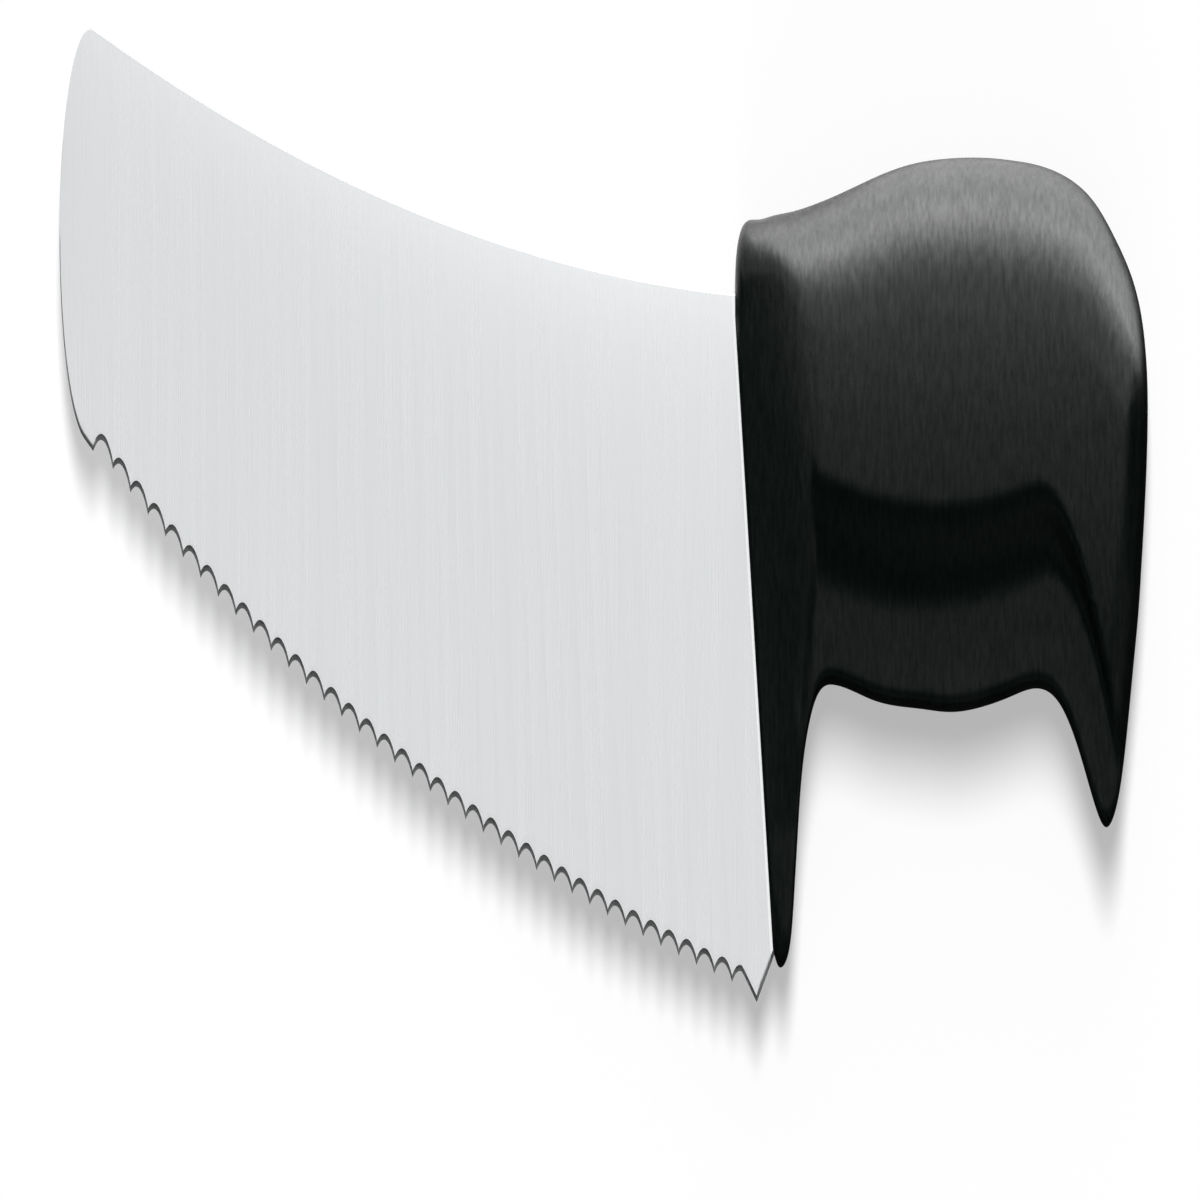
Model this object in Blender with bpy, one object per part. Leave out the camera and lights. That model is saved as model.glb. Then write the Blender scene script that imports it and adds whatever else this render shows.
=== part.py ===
# Serrated utility knife: a long stamped blade with a scalloped edge and a round tip, and the
# plastic handle that is moulded over its tang.
#
# Metres, +Z up. The knife lies on its side: X runs from the tip to the butt, Y from the cutting
# edge to the spine, and Z = 0 is the surface that it lies on. The pieces are drawn in the knife's
# own frame: zero is where the handle's leaning front crosses the handle's middle line, halfway
# through the blade's thickness.

import math

import bmesh
import bpy
import numpy as np
from mathutils import Matrix, Vector

MM = 0.001

# Blade, seen from its side
BLADE_LENGTH = 260.0 * MM       # tip to the heel's point, along X
TIP_RADIUS = 11.6 * MM
TIP_RISE = 11.2 * MM            # middle of the round tip above the middle line
SPINE_RISE = 7.9 * MM           # spine above the middle line, at the handle
SPINE_RADIUS = 2600 * MM
EDGE_DROP = 31.7 * MM           # heel's point below the middle line
EDGE_RADIUS = 2280 * MM
BELLY_RADIUS = 1000 * MM        # tighter curve of the edge towards the tip
BELLY_START = math.radians(-102.1)  # direction from the tip's middle to where the belly starts
HEEL_AHEAD = 7.25 * MM          # heel's point ahead of the handle's front
HEEL_CLIMB = math.radians(22)   # how steeply the heel rises into the guard

# Blade, through its thickness
STOCK_THICKNESS = 2.3 * MM      # the sheet that the blade and tang are stamped from
SPINE_HEEL_THICKNESS = 2.2 * MM
SPINE_TIP_THICKNESS = 1.7 * MM
EDGE_THICKNESS = 0.8 * MM       # behind the scallops, at the heel
GRIND_STOP = 0.9 * MM           # flat strip left between the ground faces and the handle

# Scallops, ground from the underside only
TOOTH_PITCH = 6.65 * MM
TOOTH_DEPTH = 0.85 * MM
TOOTH_INSET = 0.5 * MM          # points of the scallops inside the stamped edge
TOOTH_BEVEL = math.radians(20)
FIRST_TOOTH = 4.4 * MM          # first point, along the edge from the end of the round tip
FIRST_RUN_ON = 1.25             # the first scallop's arc runs on past its point, off the steel
LAST_FALL = 0.3                 # part of the last scallop's far half that is ground
HEEL_RUN_OUT = 6 * MM           # how far the grinding runs on past the heel's point

# Tang, inside the handle
TANG_LENGTH = 112 * MM          # behind the handle's front, on the middle line
TANG_DROP = 7.5 * MM            # lower edge of the tang below the middle line
TANG_ROUNDING = 3.8 * MM        # of the two corners at its end
HEEL_SEAT = 4.5 * MM            # how deep the blade's heel sits in the guard
HOLE_RADIUS = 3.0 * MM
HOLE_COUNT = 3
HOLE_FIRST = 30 * MM
HOLE_SPACING = 32 * MM
PLUG_ROOT = 2.6 * MM            # how far the plugs in the holes reach into the plastic
CLEARANCE = 0.3 * MM            # all round between steel and plastic

# Handle, seen from its side
FRONT_LEAN = math.radians(21.75)
HANDLE_LENGTH = 151.2 * MM      # front to butt, along the middle line's direction
GRIP_HEIGHT = 31.0 * MM
COLLAR_COVER = 4.2 * MM         # plastic above the spine, at the front
GUARD_SHORT = 2.0 * MM          # the guard ends this much above the heel's point
BEAK_DROP = 21.9 * MM           # beak of the pommel below the middle line
GRIP_START = 34 * MM            # where the guard has run out into the belly
POMMEL_RUN = 39.2 * MM          # length of the butt end that flares into the beak

# Handle, through its thickness
GRIP_THICKNESS = 23.0 * MM
COLLAR_THICKNESS = 11.0 * MM
RIDGE_THICKNESS = 15.4 * MM     # the slimmer finger ridge along the belly
GUARD_THICKNESS = 9.0 * MM      # at the guard's lower end
GRIP_ROUNDING = 8.5 * MM        # how far the rounding of the grip reaches in from its outline
RIDGE_ROUNDING = 2.0 * MM
FRONT_ROUNDING = 1.2 * MM
SWELL_RUN = 22 * MM             # length over which the collar slopes up to the grip
SWELL_SOFTNESS = 0.05           # how gently that slope ends
WAIST_DROP = 6.7 * MM           # middle of the step from grip to finger ridge
WAIST_WIDTH = 7.0 * MM
WAIST_BOW = 1.4 * MM            # how much higher the step's line is at its ends
WAIST_MIDDLE = 71 * MM          # where that line is lowest, behind the handle's front
WAIST_REACH = 44 * MM           # from there to its ends
WAIST_FALL_START = 33 * MM      # the step turns down this far from the butt
WAIST_FALL = 0.68               # and ends with this slope
GUARD_FALL_START = 28 * MM      # towards the guard the step turns down here
GUARD_FALL = 2.4
GUARD_FALL_WIDTH = 3 * MM
RIDGE_FALL = 0.11               # slope of the finger ridge down to the belly
POMMEL_FLARE = 0.6 * MM
FLARE_RUN = 59 * MM             # length over which the butt end grows thicker by the flare
BACK_CROWN = 3.0 * MM           # how far the broad side falls from the middle line to the back
BELLY_CROWN = 1.6 * MM          # and to the belly
ROUNDING_POWER = 2.2            # 2 is a round, more is squarer

STEEL_COLOUR = (0.72, 0.73, 0.74, 1)
STEEL_ROUGHNESS = 0.35
PLASTIC_COLOUR = (0.003, 0.0033, 0.0032, 1)
PLASTIC_ROUGHNESS = 0.5

# Fineness of the meshes
ARC_STEP = 12 * MM              # length of one chord along the spine and the edge
TIP_STEPS = 24
CORNER_STEPS = 5
SCALLOP_STEPS = 8
HOLE_SIDES = 24
HANDLE_STATIONS = 56
END_CROWDING = 0.65             # how much closer the stations stand at both ends
SECTION_STEPS = 22
WELD = 0.001 * MM               # points closer than this are one

# Cutting solids
TOOL_MARGIN = 20 * MM           # how far they reach past the steel or the plastic
TOOL_DEPTH = 6 * MM


def front_at(height):
    """X of the handle's leaning front at a height above the middle line."""
    return -height * math.tan(FRONT_LEAN)


def tangent_centre(tip, tip_radius, point, radius, outside):
    """Centre of the arc through a point that touches the round tip, above both of them."""
    reach = radius + tip_radius if outside else radius - tip_radius
    line = point - tip
    length = np.hypot(*line)
    along = (reach ** 2 - radius ** 2 + length ** 2) / (2 * length)
    aside = math.sqrt(reach ** 2 - along ** 2)
    normal = np.array([-line[1], line[0]]) / length
    return tip + line / length * along + normal * aside


def arc(centre, radius, start, end, steps):
    """Points on an arc from one angle to another, both included."""
    angles = np.linspace(start, end, steps + 1)
    return centre + radius * np.column_stack([np.cos(angles), np.sin(angles)])


def angle_of(centre, point):
    return math.atan2(point[1] - centre[1], point[0] - centre[0])


def blade_points():
    """The heel's point, the middle of the round tip and the spine's end at the handle."""
    heel = np.array([front_at(-EDGE_DROP) - HEEL_AHEAD, -EDGE_DROP])
    tip = np.array([heel[0] - BLADE_LENGTH + TIP_RADIUS, TIP_RISE])
    spine_end = np.array([front_at(SPINE_RISE), SPINE_RISE])
    return heel, tip, spine_end


def tang_outline(gap):
    """The hidden steel from the spine round to the heel's climb, grown by a gap."""
    heel = blade_points()[0]
    top = SPINE_RISE + gap
    bottom = -TANG_DROP - gap
    corner = TANG_ROUNDING + gap
    middle_x = TANG_LENGTH + gap - corner
    climb = math.tan(HEEL_CLIMB)
    heel_base = heel[1] - gap / math.cos(HEEL_CLIMB) - climb * heel[0]
    lean = math.tan(FRONT_LEAN)
    back = (HEEL_SEAT + gap) / math.cos(FRONT_LEAN)
    seat_x = (back - lean * heel_base) / (1 + lean * climb)
    seat = [(front_at(bottom) + back, bottom), (seat_x, heel_base + climb * seat_x)]
    return np.vstack([
        arc(np.array([middle_x, top - corner]), corner, math.pi / 2, 0, CORNER_STEPS),
        arc(np.array([middle_x, bottom + corner]), corner, 0, -math.pi / 2, CORNER_STEPS),
        seat])


def edge_line(inset):
    """The edge from the round tip to the heel, moved in: the belly's arc, then a flatter one."""
    heel, tip, _ = blade_points()
    toward = np.array([math.cos(BELLY_START), math.sin(BELLY_START)])
    belly_centre = tip - (BELLY_RADIUS - TIP_RADIUS) * toward
    centre = tangent_centre(belly_centre, BELLY_RADIUS, heel, EDGE_RADIUS, False)
    join = angle_of(centre, belly_centre)
    heel_angle = angle_of(centre, heel)
    chords = round(BELLY_RADIUS * (join - BELLY_START) / ARC_STEP)
    belly = arc(belly_centre, BELLY_RADIUS - inset, BELLY_START, join, chords)
    chords = round(EDGE_RADIUS * (heel_angle - join) / ARC_STEP)
    return np.vstack([belly[:-1], arc(centre, EDGE_RADIUS - inset, join, heel_angle, chords)])


def blade_outline():
    """Round tip, spine, tang, heel and stamped edge, clockwise."""
    _, tip, spine_end = blade_points()
    centre = tangent_centre(tip, TIP_RADIUS, spine_end, SPINE_RADIUS, True)
    start = angle_of(centre, tip)
    chords = round(BLADE_LENGTH / ARC_STEP)
    round_tip = arc(tip, TIP_RADIUS, BELLY_START, start - math.pi, TIP_STEPS)
    spine = arc(centre, SPINE_RADIUS, start, angle_of(centre, spine_end), chords)
    return np.vstack([round_tip, spine[1:], tang_outline(0), edge_line(0)[:0:-1]])


def scallop_outline():
    """The scalloped line along the edge, closed well below it."""
    line = edge_line(TOOTH_INSET)
    walked = np.concatenate([[0], np.cumsum(np.hypot(*np.diff(line, axis=0).T))])
    places = np.arange(FIRST_TOOTH, walked[-1], TOOTH_PITCH)
    cusps = np.column_stack([np.interp(places, walked, line[:, axis]) for axis in (0, 1)])
    half = TOOTH_PITCH / 2
    tooth_radius = (half ** 2 + TOOTH_DEPTH ** 2) / (2 * TOOTH_DEPTH)
    spread = math.asin(half / tooth_radius)
    rises = [spread * FIRST_RUN_ON] + [spread] * (len(cusps) - 2)
    falls = [spread] * (len(cusps) - 2) + [spread * LAST_FALL]
    points = []
    for start, end, rise, fall in zip(cusps[:-1], cusps[1:], rises, falls):
        along = (end - start) / np.hypot(*(end - start))
        inward = np.array([-along[1], along[0]])
        middle = (start + end) / 2 + inward * (TOOTH_DEPTH - tooth_radius)
        angle = math.atan2(inward[1], inward[0])
        points.append(arc(middle, tooth_radius, angle + rise, angle - fall, SCALLOP_STEPS)[:-1])
    heel = blade_points()[0]
    run = heel - points[-1][-1]
    out = heel + run / np.hypot(*run) * HEEL_RUN_OUT
    low = heel[1] - TOOL_MARGIN
    return np.vstack(points + [[heel, out, (out[0], low), (points[0][0][0], low)]])


def flat_solid(name, outline, thickness, collection):
    """A flat outline with its thickness centred on Z = 0, as one closed mesh object."""
    curve = bpy.data.curves.new(name, 'CURVE')
    curve.dimensions = '2D'
    curve.fill_mode = 'BOTH'
    curve.extrude = thickness / 2
    spline = curve.splines.new('POLY')
    spline.points.add(len(outline) - 1)
    for point, (x, y) in zip(spline.points, outline):
        point.co = (x, y, 0, 1)
    spline.use_cyclic_u = True
    holder = bpy.data.objects.new(name + "_curve", curve)
    bpy.context.scene.collection.objects.link(holder)
    bpy.context.view_layer.update()
    mesh = bpy.data.meshes.new_from_object(
        holder.evaluated_get(bpy.context.evaluated_depsgraph_get()))
    mesh.name = name
    bpy.data.objects.remove(holder)
    weld(mesh)
    solid = bpy.data.objects.new(name, mesh)
    collection.objects.link(solid)
    return solid


def weld(mesh):
    """Joins doubled points and turns every face outwards."""
    work = bmesh.new()
    work.from_mesh(mesh)
    bmesh.ops.remove_doubles(work, verts=work.verts, dist=WELD)
    bmesh.ops.recalc_face_normals(work, faces=work.faces)
    work.to_mesh(mesh)
    work.free()


def cut(target, tool, operation='DIFFERENCE'):
    """Cuts or joins a hidden tool solid with an exact Boolean."""
    tool.hide_render = True
    tool.display_type = 'WIRE'
    boolean = target.modifiers.new(tool.name, 'BOOLEAN')
    boolean.operation = operation
    boolean.object = tool


def make_material(name, colour, roughness, metallic):
    material = bpy.data.materials.new(name)
    material.use_nodes = True
    shader = material.node_tree.nodes["Principled BSDF"]
    shader.inputs["Base Color"].default_value = colour
    shader.inputs["Roughness"].default_value = roughness
    shader.inputs["Metallic"].default_value = metallic
    return material


def grind_cutter(side, tools):
    """A slab whose inner face is the ground face of one side (+1 upper, -1 lower).

    The ground face is the plane through three heights of steel: the spine at the heel, the
    spine at the tip and the edge at the heel.
    """
    heel, tip, spine_end = blade_points()
    spine_heel = Vector((*spine_end, side * SPINE_HEEL_THICKNESS / 2))
    spine_tip = Vector((tip[0], tip[1] + TIP_RADIUS, side * SPINE_TIP_THICKNESS / 2))
    edge_heel = Vector((*heel, side * EDGE_THICKNESS / 2))
    along = (spine_heel - spine_tip).normalized()
    outward = along.cross(edge_heel - spine_heel).normalized()
    if outward.z * side < 0:
        outward.negate()
    stop = GRIND_STOP / math.cos(FRONT_LEAN)
    low, high = heel[1] - TOOL_MARGIN, tip[1] + TIP_RADIUS + TOOL_MARGIN
    left = heel[0] - BLADE_LENGTH - TOOL_MARGIN
    corners = [(left, low), (left, high),
               (front_at(high) - stop, high), (front_at(low) - stop, low)]
    bm = bmesh.new()
    ring = []
    for x, y in corners:
        fall = -(outward.x * (x - spine_heel.x) + outward.y * (y - spine_heel.y)) / outward.z
        ring.append(bm.verts.new((x, y, spine_heel.z + fall)))
    base = bm.faces.new(ring)
    lifted = bmesh.ops.extrude_face_region(bm, geom=[base])
    risen = [item for item in lifted["geom"] if isinstance(item, bmesh.types.BMVert)]
    bmesh.ops.translate(bm, verts=risen, vec=(0, 0, side * TOOL_DEPTH))
    bmesh.ops.recalc_face_normals(bm, faces=bm.faces)
    mesh = bpy.data.meshes.new("grind")
    bm.to_mesh(mesh)
    bm.free()
    slab = bpy.data.objects.new("grind_upper" if side > 0 else "grind_lower", mesh)
    tools.objects.link(slab)
    return slab


def cylinder(name, x, y, radius, length, tools):
    bpy.ops.mesh.primitive_cylinder_add(vertices=HOLE_SIDES, radius=radius, depth=length,
                                        location=(x, y, 0))
    solid = bpy.context.object
    solid.name = name
    for holder in solid.users_collection:
        holder.objects.unlink(solid)
    tools.objects.link(solid)
    return solid


def hole_places():
    middle = (SPINE_RISE - TANG_DROP) / 2
    return [(HOLE_FIRST + step * HOLE_SPACING, middle) for step in range(HOLE_COUNT)]


def make_blade(parts, tools):
    blade = flat_solid("blade", blade_outline(), STOCK_THICKNESS, parts)
    steel = make_material("brushed_steel", STEEL_COLOUR, STEEL_ROUGHNESS, metallic=1)
    blade.data.materials.append(steel)
    for step, (x, y) in enumerate(hole_places()):
        cut(blade, cylinder(f"tang_hole_{step + 1}", x, y, HOLE_RADIUS, TOOL_DEPTH, tools))
    for side in (1, -1):
        cut(blade, grind_cutter(side, tools))
    scallops = flat_solid("scallops", scallop_outline(), TOOL_DEPTH, tools)
    shear = Matrix.Identity(4)
    shear[1][2] = -1 / math.tan(TOOTH_BEVEL)
    lift = Matrix.Translation((0, 0, EDGE_THICKNESS / 2))
    scallops.data.transform(lift @ shear)
    cut(blade, scallops)
    return blade


def smooth(value):
    """0 below 0, 1 above 1 and a smooth S between."""
    share = np.clip(value, 0, 1)
    return share * share * (3 - 2 * share)


def handle_rows():
    """Paired points of the handle's outline, front to butt: top X and Y, bottom X and Y."""
    collar = (SPINE_RISE + COLLAR_COVER) / MM
    guard = (GUARD_SHORT - EDGE_DROP) / MM
    back = GRIP_HEIGHT / 2 / MM
    beak = -BEAK_DROP / MM
    end = HANDLE_LENGTH / MM
    toe = front_at(guard)
    grip = GRIP_START / MM
    run = end - POMMEL_RUN / MM - grip
    corner = collar - 5.3
    nose = front_at(corner)
    rows = [
        (nose, corner, front_at(guard + 1), guard + 1),
        (nose + 0.4, collar - 2.6, toe + 1.7, guard),
        (nose + 2.9, collar - 0.3, toe + 5, guard + 0.5),
        (grip - 28.5, collar, toe + 7.4, guard + 3.6),
        (grip - 22.5, collar + 0.2, toe + 9, guard + 7.7),
        (grip - 16.2, collar + 0.4, toe + 10.9, guard + 11.4),
        (grip - 9.5, collar + 0.7, grip - 6.9, 0.6 - back),
        (grip - 1, collar + 1.2, grip, 1.8 - back),
        (grip + run * 0.2, back - 1, grip + run * 0.2, 0.7 - back),
        (grip + run * 0.42, back - 0.1, grip + run * 0.42, 0.2 - back),
        (grip + run * 0.65, back + 0.1, grip + run * 0.64, 0.3 - back),
        (grip + run * 0.85, back - 0.1, grip + run * 0.84, 1 - back),
        (end - 37.2, back - 0.7, end - 39.7, 1.5 - back),
        (end - 27.2, back - 1.6, end - 31.7, 0.2 - back),
        (end - 18.7, back - 2.9, end - 24.7, beak + 3.8),
        (end - 11.7, back - 4.6, end - 19.2, beak + 1),
        (end - 6.2, back - 6.5, end - 14.9, beak),
        (end - 2.2, back - 8.9, end - 10.8, beak + 1.7),
        (end - 0.1, back - 12.4, end - 7.6, beak + 5.4),
        (end - 0.3, back - 16.9, end - 4.9, beak + 9.6),
        (end - 1.5, back - 20.8, end - 3.1, beak + 12.6),
        (end - 2.3, back - 22.8, end - 2.3, back - 22.8),
    ]
    return np.array(rows) * MM


def spline(points, at):
    """A natural cubic curve through rows of points, paced by the mean step of each row."""
    steps = np.hypot(np.diff(points[:, 0::2], axis=0), np.diff(points[:, 1::2], axis=0))
    pace = np.concatenate([[0], np.cumsum(steps.mean(axis=1))])
    gap = np.diff(pace)[:, None]
    count = len(points)
    system = np.eye(count)
    bend = np.zeros_like(points)
    for row in range(1, count - 1):
        before, after = gap[row - 1, 0], gap[row, 0]
        system[row, row - 1:row + 2] = before, 2 * (before + after), after
    slopes = np.diff(points, axis=0) / gap
    bend[1:-1] = 6 * np.diff(slopes, axis=0)
    second = np.linalg.solve(system, bend)
    place = at * pace[-1]
    row = np.clip(np.searchsorted(pace, place, side='right') - 1, 0, count - 2)
    left, right = (pace[row + 1] - place)[:, None], (place - pace[row])[:, None]
    width = gap[row]
    return ((second[row] * left ** 3 + second[row + 1] * right ** 3) / (6 * width)
            + (points[row] / width - second[row] * width / 6) * left
            + (points[row + 1] / width - second[row + 1] * width / 6) * right)


def distance_to_line(points, line):
    """Shortest distance from each point to a line of straight segments."""
    start, step = line[:-1], np.diff(line, axis=0)
    length = np.maximum((step ** 2).sum(axis=1), 1e-18)
    away = points[:, None, :] - start[None]
    share = np.clip((away * step[None]).sum(axis=2) / length, 0, 1)
    return np.sqrt(((away - share[..., None] * step[None]) ** 2).sum(axis=2)).min(axis=1)


def waist_line(x):
    """Height of the step from grip to finger ridge: a shallow bow that turns down at both ends."""
    bowed = np.minimum(np.abs(x - WAIST_MIDDLE) / WAIST_REACH, 1) ** 2
    past = np.maximum(x - (HANDLE_LENGTH - WAIST_FALL_START), 0)
    ahead = np.maximum(GUARD_FALL_START - x, 0)
    return (WAIST_BOW * bowed - WAIST_DROP
            - WAIST_FALL * past ** 2 / (past + WAIST_WIDTH)
            - GUARD_FALL * ahead ** 2 / (ahead + GUARD_FALL_WIDTH))


def half_thickness(x, y, rim):
    """Half the handle's thickness at a place, from its distance in from the outline.

    The slim collar and guard slope up to the crowned grip, the grip steps down at the waist line
    to the finger ridge along the belly, and each region rounds over to nothing at the outline.
    """
    behind = np.maximum(x - front_at(y), 0) * math.cos(FRONT_LEAN)
    run = behind / SWELL_RUN
    swollen = (run - np.sqrt((run - 1) ** 2 + SWELL_SOFTNESS) + math.sqrt(1 + SWELL_SOFTNESS)) / 2
    below = (-y - GRIP_HEIGHT / 2) / (EDGE_DROP - GRIP_HEIGHT / 2)
    slim = (COLLAR_THICKNESS - (COLLAR_THICKNESS - GUARD_THICKNESS) * smooth(below)) / 2
    flare = POMMEL_FLARE * smooth((x - HANDLE_LENGTH) / FLARE_RUN + 1)
    full = slim + (GRIP_THICKNESS / 2 + flare - slim) * swollen
    aside = np.clip(y / (GRIP_HEIGHT / 2), -1, 1)
    full -= np.where(y > 0, BACK_CROWN, BELLY_CROWN) * aside ** 2 * swollen
    waist = waist_line(x)
    ridge = RIDGE_THICKNESS / 2 - RIDGE_FALL * np.maximum(waist - y, 0)
    grip = smooth((y - waist) / WAIST_WIDTH + 0.5)
    full = np.minimum(ridge, full) * (1 - grip) + full * grip
    rounding = RIDGE_ROUNDING + (GRIP_ROUNDING - RIDGE_ROUNDING) * grip * swollen ** 2
    inward = 1 - np.clip(rim / rounding, 0, 1)
    nose = 1 - np.clip(behind / FRONT_ROUNDING, 0, 1)
    full -= FRONT_ROUNDING * (1 - np.sqrt(1 - nose ** 2))
    return full * (1 - inward ** ROUNDING_POWER) ** (1 / ROUNDING_POWER)


def handle_shell(parts):
    """The handle's outside: upper and lower skins over fanned stations, closed by its front."""
    pace = np.linspace(0, 1, HANDLE_STATIONS + 1)
    crowded = pace - END_CROWDING * np.sin(2 * math.pi * pace) / (2 * math.pi)
    rows = spline(handle_rows(), crowded)
    top, bottom = rows[:, None, :2], rows[:, None, 2:]
    share = (1 - np.cos(np.linspace(0, math.pi, SECTION_STEPS + 1)))[None, :, None] / 2
    place = top + (bottom - top) * share
    outline = np.vstack([rows[:, :2], rows[::-1, 2:]])
    rim = distance_to_line(place.reshape(-1, 2), outline).reshape(place.shape[:2])
    rim[:, [0, -1]] = 0
    rim[-1] = 0
    height = half_thickness(place[..., 0], place[..., 1], rim)
    bm = bmesh.new()
    skins = []
    for side in (1, -1):
        skins.append([[bm.verts.new((x, y, side * z)) for (x, y), z in zip(*line)]
                      for line in zip(place, height)])
    upper, lower = skins
    for skin, turn in ((upper, 1), (lower, -1)):
        for near, far in zip(skin[:-1], skin[1:]):
            for step in range(SECTION_STEPS):
                face = [near[step], near[step + 1], far[step + 1], far[step]]
                bm.faces.new(face[::turn])
    bm.faces.new(upper[0][::-1] + lower[0][1:-1])
    mesh = bpy.data.meshes.new("handle")
    bm.to_mesh(mesh)
    bm.free()
    weld(mesh)
    mesh.shade_smooth()
    handle = bpy.data.objects.new("handle", mesh)
    parts.objects.link(handle)
    return handle


def make_handle(parts, tools):
    handle = handle_shell(parts)
    plastic = make_material("matte_plastic", PLASTIC_COLOUR, PLASTIC_ROUGHNESS, metallic=0)
    handle.data.materials.append(plastic)
    hidden = tang_outline(CLEARANCE)
    ahead = -TOOL_MARGIN
    low = hidden[-1]
    slot = np.vstack([hidden, [(ahead, low[1] - (low[0] - ahead) * math.tan(HEEL_CLIMB)),
                               (ahead, hidden[0][1])]])
    width = STOCK_THICKNESS + 2 * CLEARANCE
    cut(handle, flat_solid("tang_slot", slot, width, tools))
    for step, (x, y) in enumerate(hole_places()):
        plug = cylinder(f"plug_{step + 1}", x, y, HOLE_RADIUS - CLEARANCE,
                        width + 2 * PLUG_ROOT, tools)
        cut(handle, plug, 'UNION')
    return handle


def stand_on_floor(knife, parts):
    """Moves the knife so that it lies on Z = 0 with the middle of its box at the origin."""
    bpy.context.view_layer.update()
    graph = bpy.context.evaluated_depsgraph_get()
    corners = []
    for part in parts:
        shape = part.evaluated_get(graph).to_mesh()
        places = np.empty(len(shape.vertices) * 3)
        shape.vertices.foreach_get("co", places)
        corners.append(places.reshape(-1, 3))
    places = np.vstack(corners)
    low, high = places.min(axis=0), places.max(axis=0)
    knife.location = (-(low[0] + high[0]) / 2, -(low[1] + high[1]) / 2, -low[2])


def main():
    for item in list(bpy.data.objects):
        bpy.data.objects.remove(item)
    collections = []
    for name in ("serrated_utility_knife", "cutters"):
        collection = bpy.data.collections.new(name)
        bpy.context.scene.collection.children.link(collection)
        collections.append(collection)
    parts, tools = collections
    knife = bpy.data.objects.new("knife", None)
    parts.objects.link(knife)
    pieces = [make_blade(parts, tools), make_handle(parts, tools)]
    stand_on_floor(knife, pieces)
    for item in pieces + list(tools.objects):
        item.parent = knife


main()
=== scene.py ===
# A serrated utility knife lying on its side: satin steel blade, moulded black handle.
# The pieces are worked out in the knife's own frame, whose zero is where the handle's leaning
# front crosses the handle's middle line, halfway through the blade, and then moved to the CAD.
import math

import bmesh
import bpy
import numpy as np
from mathutils import Matrix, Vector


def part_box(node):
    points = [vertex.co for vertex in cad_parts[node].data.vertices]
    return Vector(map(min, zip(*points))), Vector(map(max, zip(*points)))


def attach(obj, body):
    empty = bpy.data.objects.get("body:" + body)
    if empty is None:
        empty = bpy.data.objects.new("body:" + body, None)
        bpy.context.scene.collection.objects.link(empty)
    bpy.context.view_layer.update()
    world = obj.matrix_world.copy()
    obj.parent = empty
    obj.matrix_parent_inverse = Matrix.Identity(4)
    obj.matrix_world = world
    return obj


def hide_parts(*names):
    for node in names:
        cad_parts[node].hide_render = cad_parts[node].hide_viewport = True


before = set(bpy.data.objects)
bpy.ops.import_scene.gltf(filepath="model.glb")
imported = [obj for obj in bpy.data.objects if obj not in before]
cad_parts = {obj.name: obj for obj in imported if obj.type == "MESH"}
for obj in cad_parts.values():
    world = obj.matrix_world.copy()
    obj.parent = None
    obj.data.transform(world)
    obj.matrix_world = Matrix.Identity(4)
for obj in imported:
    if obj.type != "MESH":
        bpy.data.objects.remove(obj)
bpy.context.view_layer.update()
print("frame loaded:", ", ".join(sorted(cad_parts)))

mm = 0.001
mergeGap = 0.002 * mm                 # points closer than this become one

knife = {
    "lean": math.radians(21.75),      # of the handle's front, away from square
    "spineRise": 7.9 * mm,            # spine above the middle line, at the handle
    "edgeDrop": 31.7 * mm,            # heel's point below the middle line
    "tangLength": 112 * mm,           # from the knife's zero to the tang's end
}


# Where the knife's own zero lies in the CAD's frame: back from the tang's end, up from the
# heel's point and halfway through the blade.
def knifeZero():
    low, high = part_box("blade")
    return np.array([high[0] - knife["tangLength"], low[1] + knife["edgeDrop"],
                     (low[2] + high[2]) / 2])


zero = knifeZero()


# X on the handle's leaning front at a height: minus the height times the tangent of the lean.
def frontAt(height):
    return -height * math.tan(knife["lean"])


def unit(angle):
    return np.stack([np.cos(angle), np.sin(angle)], axis=-1)


def angleOf(centre, point):
    return math.atan2(point[1] - centre[1], point[0] - centre[0])


# 0 below 0, 1 above 1, and 3t^2 - 2t^3 between.
def smooth(value):
    share = np.clip(value, 0, 1)
    return share * share * (3 - 2 * share)


def addObject(name, data):
    item = bpy.data.objects.new(name, data)
    bpy.context.scene.collection.objects.link(item)
    return item


# Doubled points, as at a pole, become one, and the faces of a closed mesh point outwards.
def cleanMesh(mesh):
    work = bmesh.new()
    work.from_mesh(mesh)
    bmesh.ops.remove_doubles(work, verts=work.verts, dist=mergeGap)
    bmesh.ops.recalc_face_normals(work, faces=work.faces)
    if work.calc_volume(signed=True) < 0:
        bmesh.ops.reverse_faces(work, faces=work.faces)
    work.to_mesh(mesh)
    work.free()


# A closed skin from rings of points: ring after ring joined by quads, each ring closed on itself,
# the last ring capped.
def ringSkin(name, rings, material, creaseAngle):
    count, around = rings.shape[:2]
    row, column = np.meshgrid(np.arange(count - 1), np.arange(around), indexing="ij")
    across = (column + 1) % around
    quads = np.stack([row * around + column, row * around + across,
                      (row + 1) * around + across, (row + 1) * around + column], axis=-1)
    cap = [(count - 1) * around + column for column in range(around)]
    mesh = bpy.data.meshes.new(name)
    mesh.from_pydata((rings.reshape(-1, 3) + zero).tolist(), [],
                     quads.reshape(-1, 4).tolist() + [cap])
    cleanMesh(mesh)
    mesh.shade_smooth()
    mesh.set_sharp_from_angle(angle=creaseAngle)
    mesh.materials.append(material)
    return addObject(name, mesh)


# Shader helpers

def addNode(tree, kind, inputs=None, **settings):
    node = tree.nodes.new(kind)
    for name, value in settings.items():
        setattr(node, name, value)
    for name, value in (inputs or {}).items():
        if isinstance(value, bpy.types.NodeSocket):
            tree.links.new(value, node.inputs[name])
        else:
            node.inputs[name].default_value = value
    return node


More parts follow.
